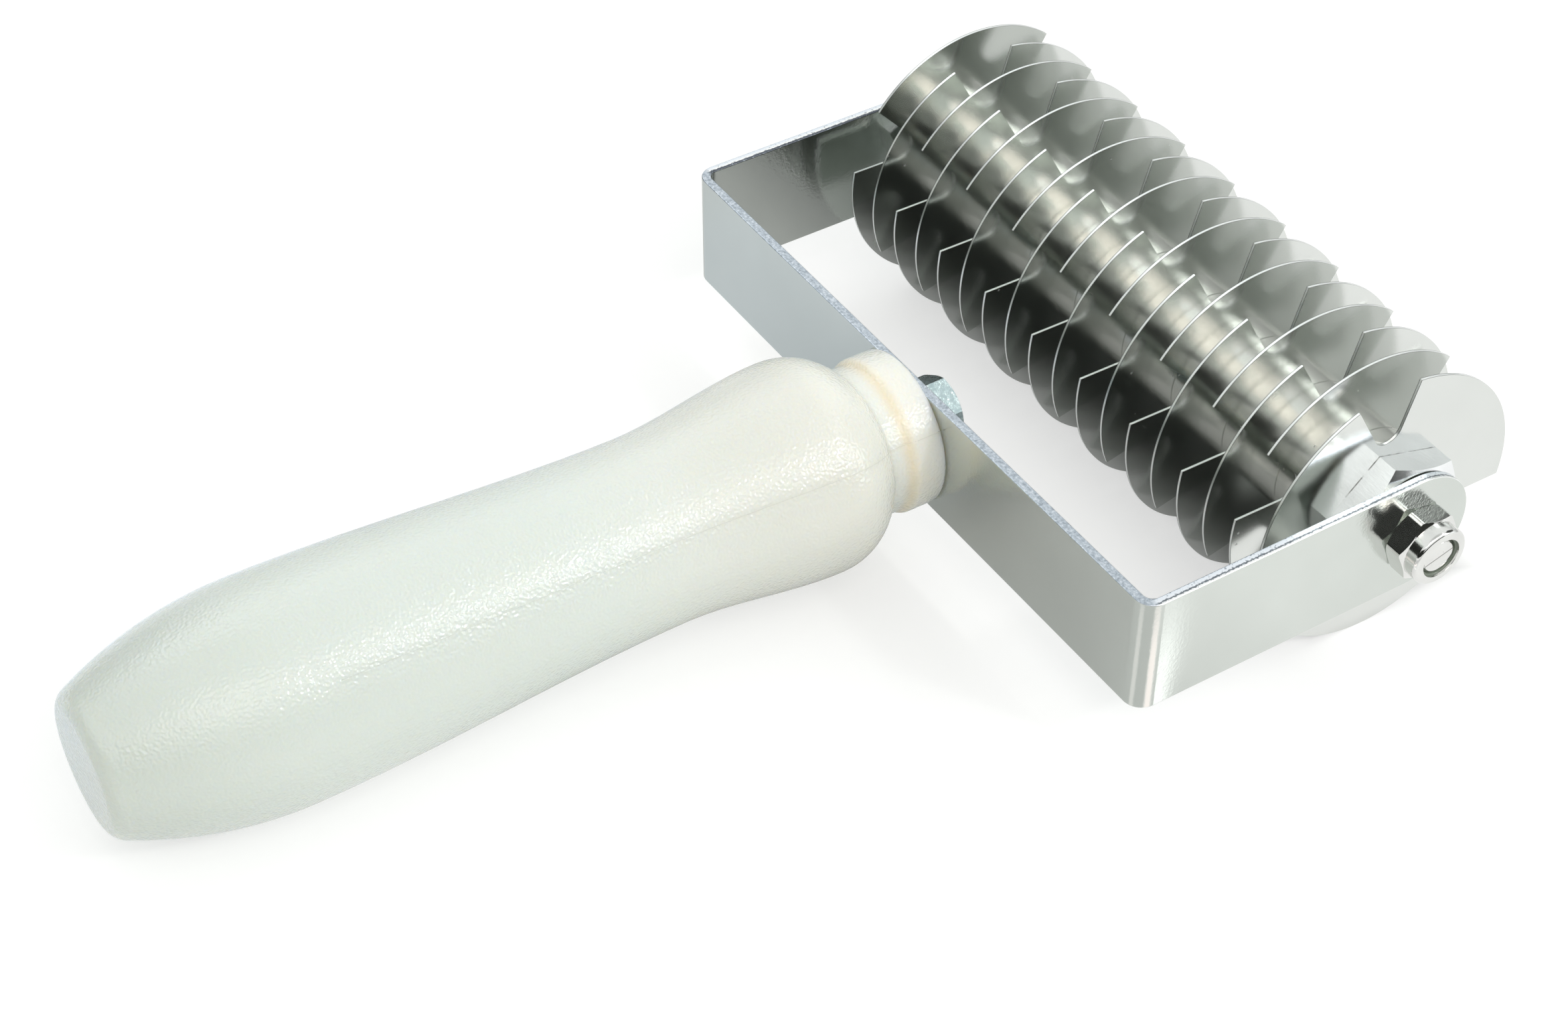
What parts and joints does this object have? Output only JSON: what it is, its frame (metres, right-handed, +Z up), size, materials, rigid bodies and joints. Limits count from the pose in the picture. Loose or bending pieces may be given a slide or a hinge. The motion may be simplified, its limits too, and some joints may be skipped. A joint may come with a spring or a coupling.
{
  "type": "lattice dough cutter",
  "caption": "Hand roller for cutting a lattice in dough: thin notched steel discs on a free-turning axle in a U-shaped strip yoke with a turned plastic handle.",
  "frame": {"origin": "on the table, under the middle of the tool's length and width", "axes": "+X along the axle towards the near end, +Y from the handle towards the roller, +Z up from the table"},
  "size_m": [0.13, 0.2022, 0.046],
  "materials": {
    "handle_plastic": "satin, slightly translucent",
    "strip_steel": "satin",
    "blade_steel": "polished",
    "spacer_steel": "polished",
    "hub_nut_steel": "satin",
    "axle_steel": "bright",
    "zinc_steel": "zinc plated",
    "lock_nylon": "matte",
    "bush_bronze": "turned"
  },
  "bodies": {
    "frame": {"handle": "handle_plastic", "handle_stud": "zinc_steel", "handle_nut": "zinc_steel", "handle_washer": "zinc_steel", "yoke": "strip_steel", "axle": "axle_steel", "axle_nut_near": "axle_steel", "axle_nut_far": "axle_steel", "lock_ring_near": "lock_nylon", "lock_ring_far": "lock_nylon"},
    "roller": {"core": "spacer_steel", "bush_near": "bush_bronze", "bush_far": "bush_bronze", "hub_nut_near": "hub_nut_steel", "hub_nut_far": "hub_nut_steel", "blade_01": "blade_steel", "blade_02": "blade_steel", "blade_03": "blade_steel", "blade_04": "blade_steel", "blade_05": "blade_steel", "blade_06": "blade_steel", "blade_07": "blade_steel", "blade_08": "blade_steel", "blade_09": "blade_steel", "blade_10": "blade_steel", "blade_11": "blade_steel", "blade_12": "blade_steel", "blade_13": "blade_steel", "blade_14": "blade_steel", "blade_15": "blade_steel", "blade_16": "blade_steel", "blade_17": "blade_steel", "blade_18": "blade_steel", "spacer_01": "spacer_steel", "spacer_02": "spacer_steel", "spacer_03": "spacer_steel", "spacer_04": "spacer_steel", "spacer_05": "spacer_steel", "spacer_06": "spacer_steel", "spacer_07": "spacer_steel", "spacer_08": "spacer_steel", "spacer_09": "spacer_steel", "spacer_10": "spacer_steel", "spacer_11": "spacer_steel", "spacer_12": "spacer_steel", "spacer_13": "spacer_steel", "spacer_14": "spacer_steel", "spacer_15": "spacer_steel", "spacer_16": "spacer_steel", "spacer_17": "spacer_steel"}
  },
  "joints": [
    {"name": "roller_spin", "type": "hinge", "parent": "frame", "child": "roller", "pos_m": [0, 0.07809, 0.023], "axis": [1, 0, 0], "continuous": true}
  ]
}
